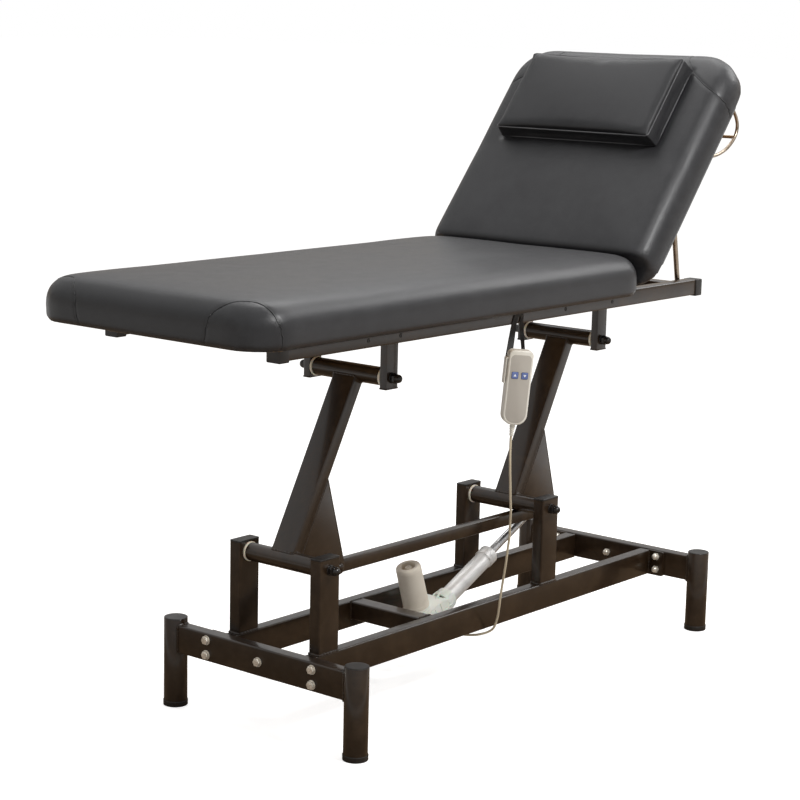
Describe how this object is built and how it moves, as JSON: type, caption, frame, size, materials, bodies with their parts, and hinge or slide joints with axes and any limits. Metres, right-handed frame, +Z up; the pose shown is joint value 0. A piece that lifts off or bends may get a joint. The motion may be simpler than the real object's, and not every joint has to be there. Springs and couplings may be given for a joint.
{
  "type": "electric massage table",
  "caption": "Two-section padded massage table on a parallelogram lift with a linear actuator, raised backrest, pillow and wired hand control.",
  "frame": {"origin": "on the floor, under the middle of the table's overall box with the backrest raised", "axes": "+X to the head end, -Y the side that faces the camera, +Z up"},
  "size_m": [1.6552, 0.624, 1.3653],
  "materials": {
    "black_paint": "satin black powder coat",
    "black_plastic": "matte moulded",
    "nylon": "natural nylon",
    "black_steel": "blackened fasteners",
    "zinc": "zinc plated",
    "housing_plastic": "pale moulded nylon",
    "motor_grey": "matte moulded cover",
    "tube_aluminium": "satin drawn tube",
    "plywood": "plain plywood",
    "charcoal_leather": "smooth synthetic leather",
    "polished_rod": "polished bent rod",
    "cream_plastic": "cream moulded",
    "panel_grey": "warm grey panel",
    "button_blue": "blue keys with plain arrows",
    "black_strap": "elastic webbing",
    "cable_beige": "beige sheath"
  },
  "bodies": {
    "base": {"foot_end_frame": "black_paint", "head_end_frame": "black_paint", "foot_near_foot_cap": "black_plastic", "foot_far_foot_cap": "black_plastic", "head_near_foot_cap": "black_plastic", "head_far_foot_cap": "black_plastic", "near_base_rail": "black_paint", "far_base_rail": "black_paint", "foot_near_post": "black_paint", "foot_far_post": "black_paint", "head_near_post": "black_paint", "head_far_post": "black_paint", "foot_near_lower_washer": "nylon", "foot_far_lower_washer": "nylon", "head_near_lower_washer": "nylon", "head_far_lower_washer": "nylon", "foot_lower_pivot_rod": "black_steel", "head_lower_pivot_rod": "black_steel", "base_cross_tube": "black_paint", "actuator_rear_pin": "zinc", "handset_cable": "cable_beige"},
    "foot_arm": {"foot_swing_arm": "black_paint"},
    "head_arm": {"head_swing_arm": "black_paint"},
    "tie": {"tie_bar": "black_paint"},
    "actuator": {"gear_housing": "housing_plastic", "motor": "motor_grey", "actuator_tube": "tube_aluminium", "tube_collar": "tube_aluminium"},
    "piston": {"piston_rod": "tube_aluminium"},
    "top": {"near_top_rail": "black_paint", "far_top_rail": "black_paint", "foot_near_rail_cap": "black_plastic", "foot_far_rail_cap": "black_plastic", "head_near_rail_cap": "black_plastic", "head_far_rail_cap": "black_plastic", "foot_hanger": "black_paint", "head_hanger": "black_paint", "foot_upper_pivot_rod": "black_steel", "head_upper_pivot_rod": "black_steel", "foot_near_upper_washer": "nylon", "foot_far_upper_washer": "nylon", "head_near_upper_washer": "nylon", "head_far_upper_washer": "nylon", "head_cross_tube": "black_paint", "hinge_rod": "zinc", "seat_board": "plywood", "seat_cushion": "charcoal_leather", "handset_shell": "cream_plastic", "handset_face": "panel_grey", "strain_relief": "cream_plastic", "handset_strap": "black_strap"},
    "backrest": {"near_back_bracket": "black_paint", "far_back_bracket": "black_paint", "back_board": "plywood", "back_cushion": "charcoal_leather", "pillow": "charcoal_leather", "paper_roll_bar": "polished_rod"},
    "stay": {"back_stay": "polished_rod"},
    "up_key": {"up_button": "button_blue"},
    "down_key": {"down_button": "button_blue"}
  },
  "joints": [
    {"name": "height_lift", "type": "hinge", "parent": "base", "child": "head_arm", "pos_m": [0.33124, 0, 0.3496], "axis": [0, -1, 0], "range_deg": [-47, 0], "deforming": ["handset_cable"]},
    {"name": "foot_arm_swing", "type": "hinge", "parent": "base", "child": "foot_arm", "pos_m": [-0.42376, 0, 0.3496], "axis": [0, -1, 0], "range_deg": [-47, 0]},
    {"name": "top_pivot", "type": "hinge", "parent": "head_arm", "child": "top", "pos_m": [0.52624, 0, 0.7148], "axis": [0, -1, 0], "range_deg": [0, 47]},
    {"name": "tie_bar_pivot", "type": "hinge", "parent": "head_arm", "child": "tie", "pos_m": [0.47123, 0, 0.31158], "axis": [0, -1, 0], "range_deg": [0, 47]},
    {"name": "actuator_tilt", "type": "hinge", "parent": "base", "child": "actuator", "pos_m": [0.00424, 0.017, 0.088], "axis": [0, -1, 0], "range_deg": [-7.65, 0]},
    {"name": "piston_slide", "type": "slide", "parent": "actuator", "child": "piston", "axis": [0.902, 0, 0.4318], "range_m": [-0.0985, 0]},
    {"name": "backrest_hinge", "type": "hinge", "parent": "top", "child": "backrest", "pos_m": [0.43624, 0, 0.831], "axis": [0, -1, 0], "range_deg": [-50.4, 0]},
    {"name": "stay_hinge", "type": "hinge", "parent": "top", "child": "stay", "pos_m": [0.72024, 0, 0.831], "axis": [0, -1, 0], "range_deg": [-100.8, 0]},
    {"name": "up_key_press", "type": "slide", "parent": "top", "child": "up_key", "axis": [0.7705, 0.6374, 0], "range_m": [0, 0.001], "stiffness_N_per_m": 500},
    {"name": "down_key_press", "type": "slide", "parent": "top", "child": "down_key", "axis": [0.7705, 0.6374, 0], "range_m": [0, 0.001], "stiffness_N_per_m": 500}
  ],
  "couplings": [
    {"joint": "foot_arm_swing", "follows": "height_lift", "ratio": 1},
    {"joint": "top_pivot", "follows": "height_lift", "ratio": -1},
    {"joint": "tie_bar_pivot", "follows": "height_lift", "ratio": -1},
    {"joint": "actuator_tilt", "follows": "height_lift", "ratio": 0.1625},
    {"joint": "piston_slide", "follows": "height_lift", "m_per_rad": 0.12},
    {"joint": "stay_hinge", "follows": "backrest_hinge", "ratio": 2}
  ]
}
